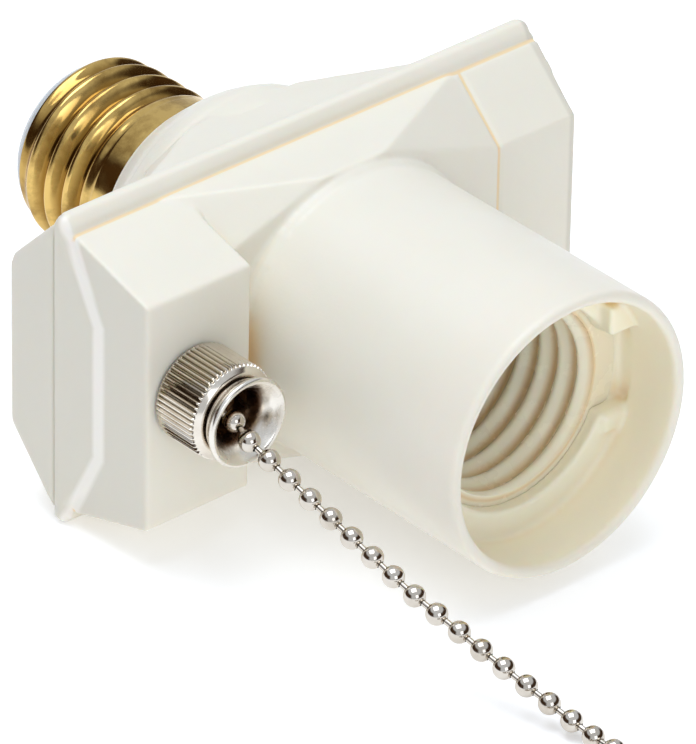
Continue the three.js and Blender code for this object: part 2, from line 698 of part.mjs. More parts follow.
function addSwitchMechanism() {
  add('switch_capsule', switchCapsule(), phenolic);
  add('switch_cover', capsuleCover(), phenolic);
  for (const rivet of CAPSULE_RIVETS) add(rivet.name, capsuleRivet(rivet), brass);
  for (const { name, z } of CONTACTS) add(name, fixedContact(z), brass);
  add('switch_axle', rodX(AXLE.radius, -36.5, -24.5, 16, AXLE.y, AXLE.z), steel);

  const flange = 6.5;
  const groove = 3.8;
  add('chain_pulley', latheX([
    [AXLE.bore, -33.6],
    [flange, -33.6],
    [flange, -33.0],
    [groove, -33.0],
    [groove, -30.0],
    [flange, -30.0],
    [flange, -29.4],
    [AXLE.bore, -29.4],
  ], 24, AXLE.y, AXLE.z), nylon);

  add('wound_chain', woundChain(), nickel);

  const pawl = extrudeX([[1.6, -1.2], [4.4, -0.9], [4.4, 0.9], [1.6, 1.2]], -29.1, -28.4);
  add('drive_pawl', pawl.translate(0, AXLE.y, AXLE.z), steel);

  add('ratchet_wheel', ratchetWheel(), nylon);

  const bridge = box([-26.6, -25.9], [AXLE.y - 2.0, AXLE.y + 2.0], [AXLE.z - 5.0, AXLE.z + 5.0]);
  const bore = rodX(AXLE.bore, -27, -25, 20, AXLE.y, AXLE.z);
  add('rotor_contact', cut(toSolid(bridge), bore), brass);

  add('return_spring', returnSpring(), steel);

  const leaf = extrudeX([
    [-10.3, -8.6],
    [-9.9, -8.6],
    [-8.7, -6.0],
    [-8.5, -3.0],
    [-8.9, 0.4],
    [-9.3, 0.4],
    [-8.9, -3.0],
    [-9.1, -5.9],
  ].reverse(), -28.1, -26.9);
  add('detent_spring', leaf, steel);
}

// Chain that lies in the pulley's groove, from just behind the top to below the axle.
function woundChain() {
  const points = [];
  const steps = 9;
  for (let i = 0; i <= steps; i += 1) {
    const angle = 0.25 + (2.9 * i) / steps;
    const y = AXLE.y + PULLEY_RADIUS * Math.sin(angle);
    points.push([BELL.x, y, AXLE.z + PULLEY_RADIUS * Math.cos(angle)]);
  }
  return cordAlong(points, CHAIN_INNER_RADIUS, 14, 8);
}

// Torsion spring round the axle, beside the pulley.
function returnSpring() {
  const points = [];
  const turns = 2;
  const stepsPerTurn = 10;
  for (let i = 0; i <= turns * stepsPerTurn; i += 1) {
    const angle = (2 * Math.PI * i) / stepsPerTurn;
    const x = -35.05 + i / (turns * stepsPerTurn);
    points.push([x, AXLE.y + 3.2 * Math.cos(angle), AXLE.z + 3.2 * Math.sin(angle)]);
  }
  return cordAlong(points, 0.2, 28, 5);
}

// ---------------------------------------------------------------- wiring

function addWiring() {
  const terminalX = CONTACT.x0 + 2.5;
  const terminalY = CONTACT.backY - 0.8;
  add('live_wire', cordAlong([
    [0, 40.6, 0],
    [0, 30, 0],
    [-3, 18, 1],
    [-12, 8, 2.4],
    [-20, terminalY, 2.5],
    [terminalX, terminalY, 2.5],
  ], 0.8, 16, 6), blackWire);
  add('switched_wire', cordAlong([
    [0, -10.1, -7.5],
    [-1.5, -7, -8.4],
    [-8, 0, -9.4],
    [-17, terminalY - 1, -9.5],
    [-21, terminalY, -9.5],
    [terminalX, terminalY, -9.5],
  ], 0.8, 16, 6), blackWire);
  add('neutral_wire', cordAlong([
    [-9.0, -10.1, 0],
    [-9.4, -6, -1.2],
    [-9, 8, -6.5],
    [-6, 22, -4.5],
    [-4.6, 31, -1.6],
    [-6.6, 35.4, -0.2],
    [-SPIGOT.radius, 36, 0],
  ], 0.8, 20, 6), whiteWire);
}

// ---------------------------------------------------------------- chain

function addChain() {
  const innerEnd = CHAIN_ROUTE[0][1] - LAMP_FRAME.y + 2 * GAP;
  const pulleyTop = AXLE.y - 1.2;
  add('inner_chain', rodY(CHAIN_INNER_RADIUS, innerEnd, pulleyTop, 8, BELL.x, BELL.z), nickel);

  add('pull_chain', cordAlong(CHAIN_ROUTE, CHAIN_INNER_RADIUS, 26, 8), nickel, adapter);

  const { inner, outer } = COIL;
  const ring = latheY([
    [inner, 0.3],
    [inner + 0.4, 0],
    [outer - 0.4, 0],
    [outer, 0.3],
    [outer, 2.7],
    [outer - 0.4, 3.0],
    [inner + 0.4, 3.0],
    [inner, 2.7],
  ], 28).rotateX(Math.PI / 2).translate(COIL.x, COIL.y, 0);
  add('pull_chain_coil', ring, nickel, adapter);

  const { radius, length } = PULL_END;
  const bell = latheX([
    [0, -length / 2],
    [1.1, -length / 2],
    [1.3, -length / 2 + 2.4],
    [2.0, -length / 2 + 4.2],
    [radius, length / 2 - 1.2],
    [radius, length / 2 - 0.4],
    [radius - 0.5, length / 2],
    [0, length / 2],
  ], 20, 0, 0).translate(PULL_END.x, PULL_END.y, radius);
  add('chain_pull_end', bell, nickel, adapter);
}

addHousings();
addScrewBase();
addLampSocket();
addChainOutlet();
addSwitchMechanism();
addWiring();
addChain();

export default adapter;
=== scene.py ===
"""Looks of a screw-in lampholder adapter with a pull-chain switch.

Shapes are written in millimetres in the lamp frame: its origin is on the lamp axis, +Y goes to the
screw base, -Y out of the lamp socket, and the switch is at -X. A mesh is turned into metres of the
part's own frame when it is made.
"""

import json
import math

import bmesh
import bpy
import numpy as np
from mathutils import Matrix, Vector


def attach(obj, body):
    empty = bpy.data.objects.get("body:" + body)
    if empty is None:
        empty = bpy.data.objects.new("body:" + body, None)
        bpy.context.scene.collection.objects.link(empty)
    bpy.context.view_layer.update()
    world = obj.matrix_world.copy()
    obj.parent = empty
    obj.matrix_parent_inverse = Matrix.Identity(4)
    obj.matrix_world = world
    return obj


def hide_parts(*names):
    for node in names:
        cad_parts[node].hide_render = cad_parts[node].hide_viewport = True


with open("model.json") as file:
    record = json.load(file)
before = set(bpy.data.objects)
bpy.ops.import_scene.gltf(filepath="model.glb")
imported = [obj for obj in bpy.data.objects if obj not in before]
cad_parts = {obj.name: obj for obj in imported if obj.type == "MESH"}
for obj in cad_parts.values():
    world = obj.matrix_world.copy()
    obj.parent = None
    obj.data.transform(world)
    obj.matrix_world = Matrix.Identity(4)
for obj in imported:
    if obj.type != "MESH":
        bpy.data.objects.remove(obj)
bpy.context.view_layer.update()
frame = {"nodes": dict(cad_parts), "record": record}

# ---------------------------------------------------------------- driving dimensions

MM = 0.001
LAMP = np.array([0.0, 2.75, 23.25])  # lamp frame's origin in the part's frame

MOUTH_Y = -52.75
SLEEVE_RADIUS = 20.2
MOUTH_BORE = 18.5
LEDGE_Y = -44.0
FAIRING_END_X = 26.6  # the front fairing meets the wing here
RIB_SEAM_Y = -0.75  # and the rib here
SEAM_WIDTH = 0.3
PARTING_Y = 2.0  # front shell ends here

THREAD_PITCH = 3.63
SHELL = {"start": 23.8, "thread": 27.5, "end": 42.8, "crest": 13.2, "root": 11.7, "inner": 11.4}
INSERT = {"front": -42.05, "back": -16.0, "flange": 17.28, "radius": 17.0, "crest": 12.5, "root": 13.75}

OUTLET_X, OUTLET_Z = -31.5, 2.0
NUT = {"radius": 6.8, "bore": 4.7, "back": -15.55, "front": -23.65, "teeth": 56, "depth": 0.42}

BEAD_DIAMETER = 3.0
BEAD_PITCH = 3.72
FIRST_BEAD = 3.47  # along the route, in the outlet's throat
BEAD_HOLE = 0.55
BEAD_RECESS = 0.35
BEAD_STEPS = 16
LINK_RADIUS = 0.42
INNER_CHAIN_END_Y = -4.4

# The free chain in the part's frame, from inside the outlet to the coil.
CHAIN_ROUTE = [
    (-31.5, -17.75, 25.25),
    (-31.9, -20.25, 24.95),
    (-32.2, -22.5, 24.35),
    (-32.4, -24.75, 23.45),
    (-31.9, -28.2, 21.95),
    (-31.2, -32.8, 19.9),
    (-30.2, -38.3, 17.4),
    (-29.0, -45.0, 14.4),
    (-27.8, -51.6, 11.5),
    (-26.1, -58.2, 8.7),
    (-24.6, -64.8, 6.1),
    (-23.2, -70.2, 4.0),
    (-22.2, -74.8, 2.4),
    (-21.8, -79.2, 1.6),
    (-21.7, -82.6, 1.5),
    (-21.8, -85.7, 1.5),
]
COIL = {"x": -39.5, "y": -95.5, "start_radius": 17.2, "pitch": 3.1, "turns": 1.672, "end_radius": 9.53}
COIL_STEPS = 60
RISE_STEPS = 8  # last steps of the coil, which climb to the bell's middle
CURVE_STEPS = 6
PULL_END = {"x": -39.5, "y": -87.1, "radius": 2.7, "length": 9.0}

# ---------------------------------------------------------------- camera

VIEW = {"azimuth": -41.91, "elevation": 32.02, "roll": 1.09, "distance": 1200.0}
AIM = Vector((8.81, 2.75, 4.22))
SENSOR = 36.0
LENS = 436.6


def make_camera():
    azimuth, elevation = math.radians(VIEW["azimuth"]), math.radians(VIEW["elevation"])
    back = Vector((
        math.sin(azimuth) * math.cos(elevation),
        -math.cos(azimuth) * math.cos(elevation),
        math.sin(elevation),
    ))
    right = Vector((math.cos(azimuth), math.sin(azimuth), 0.0))
    up = back.cross(right)
    turn = Matrix.Rotation(math.radians(VIEW["roll"]), 3, "Z")
    basis = Matrix((right, up, back)).transposed() @ turn
    data = bpy.data.cameras.new("camera")
    data.sensor_width = SENSOR
    data.lens = LENS
    data.clip_start, data.clip_end = 0.05, 20.0
    camera = bpy.data.objects.new("camera", data)
    bpy.context.scene.collection.objects.link(camera)
    camera.matrix_world = Matrix.Translation((AIM + VIEW["distance"] * back) * MM) @ basis.to_4x4()
    bpy.context.scene.camera = camera


make_camera()

# ---------------------------------------------------------------- chain path


def smooth_curve(points, steps):
    """Points along a Catmull-Rom curve through the given ones."""
    knots = np.array(points, float)
    ends = np.vstack([2 * knots[0] - knots[1], knots, 2 * knots[-1] - knots[-2]])
    curve = []
    for i in range(1, len(ends) - 2):
        a, b, c, d = ends[i - 1 : i + 3]
        for t in np.arange(steps) / steps:
            square, cube = 2 * a - 5 * b + 4 * c - d, 3 * b - a - 3 * c + d
            curve.append(0.5 * (2 * b + (c - a) * t + square * t**2 + cube * t**3))
    curve.append(knots[-1])
    return np.array(curve)


def coil_points():
    """The chain's turns on the floor, clockwise from above, ending at the pull end."""
    points = []
    tail = COIL["turns"] - 1.0
    slack = COIL["start_radius"] - COIL["pitch"] * COIL["turns"] - COIL["end_radius"]
    for i in range(1, COIL_STEPS + 1):
        turns = COIL["turns"] * i / COIL_STEPS
        inwards = slack * (max(0.0, turns - 1.0) / tail) ** 2
        radius = COIL["start_radius"] - COIL["pitch"] * turns - inwards
        angle = -2 * math.pi * turns
        rise = max(0.0, 1 - (COIL_STEPS - i) / RISE_STEPS) ** 2 * (PULL_END["radius"] - BEAD_DIAMETER / 2)
        points.append((
            COIL["x"] + radius * math.cos(angle),
            COIL["y"] + radius * math.sin(angle),
            BEAD_DIAMETER / 2 + rise,
        ))
    return points


def bend_start():
    """Where the free run meets the coil."""
    return (COIL["x"] + COIL["start_radius"], COIL["y"], BEAD_DIAMETER / 2)


chain_path = smooth_curve(CHAIN_ROUTE + [bend_start()] + coil_points(), CURVE_STEPS)


def along(path, distances):
    """Points at those distances along a path."""
    steps = np.linalg.norm(np.diff(path, axis=0), axis=1)
    travelled = np.concatenate([[0.0], np.cumsum(steps)])
    return np.stack([np.interp(distances, travelled, path[:, k]) for k in range(3)], axis=1)


def path_length(path):
    return float(np.linalg.norm(np.diff(path, axis=0), axis=1).sum())


# ---------------------------------------------------------------- mesh helpers

SHARP_ANGLE = math.radians(40)
POLE_WELD = 1e-7  # metres
CORNER_STEPS = 5


def revolve(profile, segments, radius_change=None, closed=True):
    """A surface turned about the lamp axis from rows of [radius, y].

    radius_change(angle, radius, y) is added to the radius. A profile that isn't closed ends on the axis.
    """
    rows = np.array(profile, float)
    angles = 2 * math.pi * np.arange(segments) / segments
    radius = np.repeat(rows[:, :1], segments, axis=1)
    height = np.repeat(rows[:, 1:], segments, axis=1)
    turned = np.repeat(angles[None, :], len(rows), axis=0)
    if radius_change is not None:
        radius = radius + radius_change(turned, radius, height)
    vertices = np.stack([radius * np.cos(turned), height, radius * np.sin(turned)], axis=2).reshape(-1, 3)
    faces = []
    count = len(rows)
    for i in range(count if closed else count - 1):
        here, following = i * segments, ((i + 1) % count) * segments
        for j in range(segments):
            k = (j + 1) % segments
            faces.append((here + j, following + j, following + k, here + k))
    return vertices, faces


def rounded(points):
    """A profile whose corners are cut and rounded. Each point is (radius, y) or (radius, y, cut)."""
    outline = []
    count = len(points)
    for i, point in enumerate(points):
        corner = np.array(point[:2], float)
        cut = point[2] if len(point) > 2 else 0.0
        if cut == 0.0:
            outline.append(corner)
            continue
        before = np.array(points[i - 1][:2], float) - corner
        after = np.array(points[(i + 1) % count][:2], float) - corner
        start = corner + before / np.linalg.norm(before) * cut
        end = corner + after / np.linalg.norm(after) * cut
        for t in np.arange(CORNER_STEPS + 1) / CORNER_STEPS:
            outline.append((1 - t) ** 2 * start + 2 * t * (1 - t) * corner + t**2 * end)
    return outline


def at_outlet(shape):
    """The shape, moved from the lamp axis to the axis of the chain's outlet."""
    vertices, faces = shape
    return vertices + np.array((OUTLET_X, 0.0, OUTLET_Z)), faces


def joined(shapes):
    """Several shapes as one."""
    vertices, faces = [], []
    start = 0
    for part_vertices, part_faces in shapes:
        vertices.append(part_vertices)
        faces.extend(tuple(start + index for index in face) for face in part_faces)
        start += len(part_vertices)
    return np.vstack(vertices), faces


def tidy_mesh(mesh):
    """Welds the poles, turns faces outwards and shades smooth except over sharp edges."""
    work = bmesh.new()
    work.from_mesh(mesh)
    bmesh.ops.remove_doubles(work, verts=work.verts, dist=POLE_WELD)
    bmesh.ops.recalc_face_normals(work, faces=work.faces)
    work.to_mesh(mesh)
    work.free()
    mesh.shade_smooth()
    mesh.set_sharp_from_angle(angle=SHARP_ANGLE)


def as_object(name, mesh, body, material, nodes):
    """A piece on a body, in the place of CAD nodes."""
    piece = bpy.data.objects.new(name, mesh)
    bpy.context.scene.collection.objects.link(piece)
    mesh.materials.clear()
    mesh.materials.append(material)
    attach(piece, body)
    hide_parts(*nodes)
    return piece


def make_piece(name, shape, body, material, nodes, origin=LAMP):
    """A piece from a shape in millimetres from origin."""
    vertices, faces = shape
    mesh = bpy.data.meshes.new(name)
    mesh.from_pydata(((vertices + origin) * MM).tolist(), [], faces)
    tidy_mesh(mesh)
    return as_object(name, mesh, body, material, nodes)


# ---------------------------------------------------------------- where colours change

# Distances in millimetres. A mask goes from 0 to 1 between the two numbers of a pair.
OPEN_SHARE = (0.72, 0.35)  # share of light that reaches a crease
AO_SAMPLES = 6
CREASE_REACH = 3.2
BORE_TINT = (MOUTH_BORE + 0.9, MOUTH_BORE + 0.3)  # through the sleeve's wall
RIM_DEPTH = 1.2  # the painted bounce light inside the sleeve starts over this depth
SEAM_CORE = 0.4  # middle share of a seam that has the full painted shade
RIB_FOOT = (20.2, 20.6)  # half height where the fairing meets the rib
END_FACE_X = (38.9, 39.35)
PLATE_X = (-38.9, -39.3)
PLATE_EDGE_WIDTH = (1.1, 0.5)
PLATE_CORNER = (-6.2, 9.9)  # y and half height
PLATE_SLANT = math.radians(26.8)
INSERT_VALLEY = (INSERT["crest"] + 0.7, INSERT["root"])
INSERT_FLANGE = (INSERT["root"] + 0.1, INSERT["root"] + 0.4)
FLANGE_TINT = 0.3  # share of the valley's painted shade on the insert's front face
SHELL_VALLEY = (SHELL["crest"] - 0.35, SHELL["root"] + 0.1)
KNURL_VALLEY = (NUT["radius"] - 0.2, NUT["radius"] - 0.36)
KNURL_START = (NUT["front"] + 0.9, NUT["front"] + 1.2)
THROAT_Y = (-24.5, -23.6)

END_SHADE_SHARE = 0.86  # painted shade: the end faces are painted this share of the plastic's darker tone
# painted highlight: the colour along the left end plate's sloping edge
PLATE_HIGHLIGHT_COLOUR = (0.88, 0.84, 0.765)

# ---------------------------------------------------------------- material helpers


class Shader:
    """A node material: add() makes a node, sets its properties and joins its inputs."""

    def __init__(self, name):
        self.material = bpy.data.materials.new(name)
        self.material.use_nodes = True
        self.tree = self.material.node_tree
        self.surface = self.tree.nodes["Principled BSDF"]
        self.place = self.add("ShaderNodeTexCoord").outputs["Object"]

    def add(self, kind, inputs=None, **properties):
        made = self.tree.nodes.new(kind)
        for key, value in properties.items():
            setattr(made, key, value)
        for key, value in (inputs or {}).items():
            self.set(made, key, value)
        return made

    def set(self, made, key, value):
        if isinstance(value, bpy.types.NodeSocket):
            self.tree.links.new(value, made.inputs[key])
        else:
            made.inputs[key].default_value = value

    def noise(self, size, detail=2.0, stretch=(1.0, 1.0, 1.0), roughness=0.5):
        """Noise with features about size millimetres across, between 0 and 1."""
        mapping = self.add("ShaderNodeMapping", {"Vector": self.place, "Scale": stretch})
        inputs = {
            "Vector": mapping.outputs["Vector"],
            "Scale": 1.0 / (size * MM),
            "Detail": detail,
            "Roughness": roughness,
        }
        return self.add("ShaderNodeTexNoise", inputs).outputs["Fac"]

    def ramp(self, value, low, high, to_low=0.0, to_high=1.0):
        """Value from low to high, stretched to run from to_low to to_high."""
        inputs = {"Value": value, "From Min": low, "From Max": high, "To Min": to_low, "To Max": to_high}
        return self.add("ShaderNodeMapRange", inputs).outputs["Result"]

    def math(self, operation, a, b=0.0):
        return self.add("ShaderNodeMath", {0: a, 1: b}, operation=operation).outputs[0]

    def all_of(self, *masks):
        """1 where every mask is 1."""
        product = masks[0]
        for mask in masks[1:]:
            product = self.math("MULTIPLY", product, mask)
        return product

    def mix(self, amount, a, b):
        made = self.add("ShaderNodeMix", data_type="RGBA")
        self.set(made, "Factor", amount)
        self.set(made, 6, a)
        self.set(made, 7, b)
        return made.outputs[2]

    def bump(self, height, depth, below=None):
        """Bump that is depth millimetres deep, on top of another one."""
        inputs = {"Height": height, "Distance": depth * MM, "Strength": 1.0}
        if below is not None:
            inputs["Normal"] = below
        return self.add("ShaderNodeBump", inputs).outputs["Normal"]

    def hollow(self, reach):
        """1 in creases narrower than reach in millimetres, 0 on open faces."""
        inputs = {"Distance": reach * MM}
        sky = self.add("ShaderNodeAmbientOcclusion", inputs, samples=AO_SAMPLES, only_local=True)
        return self.ramp(sky.outputs["AO"], *OPEN_SHARE)

    def lamp(self, axis):
        """A coordinate in the lamp frame, in millimetres."""
        split = self.add("ShaderNodeSeparateXYZ", {"Vector": self.place})
        millimetres = self.math("MULTIPLY", split.outputs[axis], 1 / MM)
        return self.math("SUBTRACT", millimetres, LAMP["XYZ".index(axis)])

    def away(self, value, origin=0.0):
        """How far a value is from its origin, on either side."""
        return self.math("ABSOLUTE", self.math("SUBTRACT", value, origin))

    def radius(self, x=0.0, z=0.0):
        """Distance from the line along Y that passes through x and z in the lamp frame."""
        squares = []
        for side in (self.away(self.lamp("X"), x), self.away(self.lamp("Z"), z)):
            squares.append(self.math("MULTIPLY", side, side))
        return self.math("SQRT", self.math("ADD", *squares))

    def finish(self, **inputs):
        for key, value in inputs.items():
            self.set(self.surface, key.replace("_", " "), value)
        return self.material


def painted_bore_light(shader):
    """1 on the walls inside the lamp sleeve, where lighter, warmer bounce light is painted, 0 outside."""
    y = shader.lamp("Y")
    near_axis = shader.ramp(shader.radius(), *BORE_TINT)
    behind_rim = shader.ramp(y, MOUTH_Y, MOUTH_Y + RIM_DEPTH)
    before_neck = shader.ramp(y, 0.0, INSERT["back"])
    return shader.all_of(near_axis, behind_rim, before_neck)


def seams(shader):
    """1 on the fine grooves where the front shell's fairing meets its wing and its rib, which are painted
    with the crease colour as painted shade.
    """
    y = shader.lamp("Y")
    line = (SEAM_WIDTH, SEAM_CORE * SEAM_WIDTH)
    wing_line = shader.ramp(shader.away(shader.lamp("X"), FAIRING_END_X), *line)
    in_front = shader.ramp(y, RIB_SEAM_Y + 0.2, RIB_SEAM_Y - 0.2)
    rib_line = shader.ramp(shader.away(y, RIB_SEAM_Y), *line)
    outermost = shader.ramp(shader.away(shader.lamp("Z")), *RIB_FOOT)
    wing_seam = shader.all_of(wing_line, in_front)
    return shader.math("MAXIMUM", wing_seam, shader.all_of(rib_line, outermost))


def shaded_end_faces(shader):
    """1 on the flat ends of the body, which are painted darker as painted shade, 0 elsewhere."""
    return shader.ramp(shader.away(shader.lamp("X")), *END_FACE_X)


def plate_edge_highlight(shader):
    """1 along the thin sloping edge of the plate on the left end, where a painted highlight makes the edge
    lighter.
    """
    corner_y, corner_z = PLATE_CORNER
    in_front = shader.math("SUBTRACT", corner_y, shader.lamp("Y"))
    above = shader.math("SUBTRACT", shader.away(shader.lamp("Z")), corner_z)
    slanted = shader.math(
        "ADD",
        shader.math("MULTIPLY", in_front, math.cos(PLATE_SLANT)),
        shader.math("MULTIPLY", above, math.sin(PLATE_SLANT)),
    )
    outwards = shader.away(shader.math("MAXIMUM", in_front, slanted))
    return shader.all_of(shader.ramp(shader.lamp("X"), *PLATE_X), shader.ramp(outwards, *PLATE_EDGE_WIDTH))


def insert_valley_shade(shader):
    """1 in the valleys of the socket's thread, where shade is painted, 0 on its ridges, and a little on the
    front face.
    """
    radius = shader.radius()
    low = shader.ramp(radius, *INSERT_VALLEY)
    flange = shader.ramp(radius, *INSERT_FLANGE, 1.0, FLANGE_TINT)
    return shader.math("MINIMUM", low, flange)


def shell_valley_shade(shader):
    """1 in the valleys of the screw shell's thread, where darker shade is painted, 0 on its ridges."""
    return shader.ramp(shader.radius(), *SHELL_VALLEY)


def knurl_valley_shade(shader):
    """1 between the teeth of the knurled nut, where shade is painted, 0 on them and on its front."""
    low = shader.ramp(shader.radius(OUTLET_X, OUTLET_Z), *KNURL_VALLEY)
    return shader.all_of(low, shader.ramp(shader.lamp("Y"), *KNURL_START))


def throat(shader):
    """1 on the darker metal inside the bellmouth and on its collar, 0 on its flare."""
    return shader.ramp(shader.lamp("Y"), *THROAT_Y)


def moulded_plastic(
    name, light, shaded, roughness, depth=0.012, scatter=0.35, inside=None, crease=None, valley=None
):
    """Moulded thermoplastic: faint clouding, fine mould texture and a little light inside.

    The housing has a colour of painted bounce light for the inside of its sleeve, and with it ends painted
    darker as painted shade and a plate edge painted lighter as a painted highlight. Crease is the colour of
    painted shade in narrow hollows and on the seams, where light has bounced between the walls, and valley
    the colour of painted shade at the bottom of the socket's thread.
    """
    shader = Shader(name)
    cloud = shader.ramp(shader.noise(14.0, 3.0), 0.35, 0.65)
    speck = shader.noise(0.35, 2.0)
    sheen = shader.noise(3.0, 4.0)
    normal = shader.bump(speck, depth)
    normal = shader.bump(shader.noise(2.4, 2.0), depth * 2.5, normal)
    colour = shader.mix(cloud, (*light, 1.0), (*shaded, 1.0))
    if inside is not None:
        # painted shade on the ends of the body
        end_shade = [END_SHADE_SHARE * channel for channel in shaded]
        colour = shader.mix(shaded_end_faces(shader), colour, (*end_shade, 1.0))
        # painted highlight along the plate's edge
        colour = shader.mix(plate_edge_highlight(shader), colour, (*PLATE_HIGHLIGHT_COLOUR, 1.0))
        # painted bounce light on the walls inside the sleeve
        colour = shader.mix(painted_bore_light(shader), colour, (*inside, 1.0))
    if crease is not None:
        # painted shade in narrow hollows and on the fine seams
        narrow = shader.math("MAXIMUM", shader.hollow(CREASE_REACH), seams(shader))
        colour = shader.mix(narrow, colour, (*crease, 1.0))
    if valley is not None:
        # painted shade in the socket thread's valleys
        colour = shader.mix(insert_valley_shade(shader), colour, (*valley, 1.0))
    return shader.finish(
        Base_Color=colour,
        Roughness=shader.ramp(sheen, 0.3, 0.7, roughness - 0.05, roughness + 0.07),
        Subsurface_Weight=scatter,
        Subsurface_Radius=(1.0, 0.62, 0.38),
        Subsurface_Scale=1.4 * MM,
        Normal=normal,
    )


def polished_metal(name, bright, tarnished, roughness, smudge, brush=(1.0, 1.0, 1.0), valley=None):
    """Metal with smudges, fine scratches and slightly uneven plating.

    A valley is (colour, mask): what the metal turns to where the mask function says 1.
    """
    shader = Shader(name)
    patch = shader.ramp(shader.noise(5.0, 5.0, roughness=0.62), 0.42, 0.7)
    scratches = shader.noise(0.5, 3.0, stretch=brush)
    grime = shader.math("MULTIPLY", patch, smudge)
    rough = shader.ramp(shader.noise(1.6, 4.0), 0.3, 0.75, roughness * 0.7, roughness * 1.7)
    normal = shader.bump(scratches, 0.004)
    normal = shader.bump(shader.noise(4.0, 2.0), 0.02, normal)
    colour = shader.mix(grime, (*bright, 1.0), (*tarnished, 1.0))
    if valley is not None:
        dark, mask = valley
        colour = shader.mix(mask(shader), colour, (*dark, 1.0))
    return shader.finish(
        Base_Color=colour,
        Metallic=1.0,
        Roughness=shader.math("ADD", rough, shader.math("MULTIPLY", grime, 0.15)),
        Normal=normal,
    )


# ---------------------------------------------------------------- materials

# Plastics: two close shades and roughness. Metals: bright and tarnished colour, roughness and smudging.
ivory = moulded_plastic(
    "ivory_plastic",
    (0.845, 0.803, 0.69),
    (0.83, 0.788, 0.67),
    0.36,
    # painted bounce light inside the sleeve
    inside=(0.98, 0.91, 0.72),
    # painted shade in creases and seams
    crease=(0.90, 0.71, 0.43),
)
cream = moulded_plastic(
    "cream_plastic",
    (0.97, 0.91, 0.74),
    (0.95, 0.88, 0.70),
    0.24,
    depth=0.006,
    scatter=0.5,
    # painted shade in the thread's valleys
    valley=(0.84, 0.66, 0.42),
)
insulator = moulded_plastic(
    "insulator_plastic", (0.66, 0.68, 0.68), (0.6, 0.62, 0.62), 0.2, depth=0.006, scatter=0.15
)
phenolic = moulded_plastic(
    "phenolic", (0.055, 0.035, 0.024), (0.035, 0.022, 0.016), 0.45, depth=0.02, scatter=0.0
)
nylon = moulded_plastic("nylon", (0.88, 0.87, 0.82), (0.82, 0.81, 0.76), 0.42, depth=0.01, scatter=0.4)
black_wire = moulded_plastic(
    "black_insulation", (0.02, 0.02, 0.022), (0.012, 0.012, 0.013), 0.5, depth=0.01, scatter=0.0
)
white_wire = moulded_plastic(
    "white_insulation", (0.8, 0.8, 0.78), (0.74, 0.74, 0.72), 0.5, depth=0.01, scatter=0.1
)
brass = polished_metal("stamped_brass", (0.72, 0.53, 0.22), (0.30, 0.18, 0.05), 0.2, 0.6)
shell_brass = polished_metal(
    "rolled_brass",
    (0.72, 0.49, 0.16),
    (0.24, 0.13, 0.03),
    0.11,
    0.85,
    brush=(1.0, 0.3, 1.0),
    # painted shade in the thread's valleys
    valley=((0.27, 0.14, 0.025), shell_valley_shade),
)
nickel = polished_metal("nickel_plate", (0.67, 0.62, 0.55), (0.38, 0.31, 0.22), 0.08, 0.45)
knurled_nickel = polished_metal(
    "knurled_nickel",
    (0.78, 0.725, 0.64),
    (0.48, 0.39, 0.28),
    0.1,
    0.4,
    # painted shade between the knurl's teeth
    valley=((0.34, 0.29, 0.21), knurl_valley_shade),
)
satin_nickel = polished_metal(
    "satin_nickel", (0.80, 0.76, 0.69), (0.55, 0.47, 0.36), 0.2, 0.3, valley=((0.3, 0.2, 0.13), throat)
)
steel = polished_metal("zinc_steel", (0.7, 0.71, 0.72), (0.45, 0.45, 0.46), 0.28, 0.4)

NODE_MATERIALS = {
    "housing_plastic": ivory,
    "insert_plastic": cream,
    "base_insulator": insulator,
    "phenolic": phenolic,
    "nylon": nylon,
    "brass": brass,
    "nickel": nickel,
    "steel": steel,
    "black_wire": black_wire,
    "white_wire": white_wire,
}
for subpart in frame["record"]["subparts"]:
    node_object = frame["nodes"][subpart["node"]]
    node_object.data.materials.clear()
    node_object.data.materials.append(NODE_MATERIALS[subpart["material_slot"]])

# ---------------------------------------------------------------- chain


def bead_ring():
    """Outline of a bead: a ball with a shallow hole at each end."""
    radius = BEAD_DIAMETER / 2
    start = math.asin(BEAD_HOLE / radius)
    angles = [start + (math.pi - 2 * start) * i / BEAD_STEPS for i in range(BEAD_STEPS + 1)]
    ball = [(radius * math.sin(a), -radius * math.cos(a)) for a in angles]
    bottom = radius * math.cos(start) - BEAD_RECESS
    return [(0.0, -bottom), (BEAD_HOLE, -bottom)] + ball + [(BEAD_HOLE, bottom), (0.0, bottom)]


def chain_shape(path, bead_count, start):
    """Beads on short links along a path, in the part's frame."""
    places = along(path, start + BEAD_PITCH * np.arange(bead_count))
    ball = revolve(bead_ring(), segments=24, closed=False)
    shapes = []
    for i, place in enumerate(places):
        before = places[max(0, i - 1)]
        after = places[min(bead_count - 1, i + 1)]
        turn = np.array(Vector(after - before).to_track_quat("Y", "Z").to_matrix())
        shapes.append((ball[0] @ turn.T + place, ball[1]))
    for here, following in zip(places[:-1], places[1:]):
        step = Vector(following - here)
        turn = np.array(step.to_track_quat("Y", "Z").to_matrix())
        half = step.length / 2
        outline = [(0, -half), (LINK_RADIUS, -half), (LINK_RADIUS, half), (0, half)]
        pin = revolve(outline, segments=10, closed=False)
        shapes.append((pin[0] @ turn.T + (here + following) / 2, pin[1]))
    return joined(shapes)


NO_OFFSET = np.zeros(3)  # for shapes that are already in the part's frame
free_length = path_length(chain_path)
bead_count = int((free_length - FIRST_BEAD) / BEAD_PITCH) + 1
bead_chain = make_piece(
    "bead_chain",
    chain_shape(chain_path, bead_count, FIRST_BEAD),
    "chain",
    nickel,
    ("pull_chain", "pull_chain_coil"),
    origin=NO_OFFSET,
)

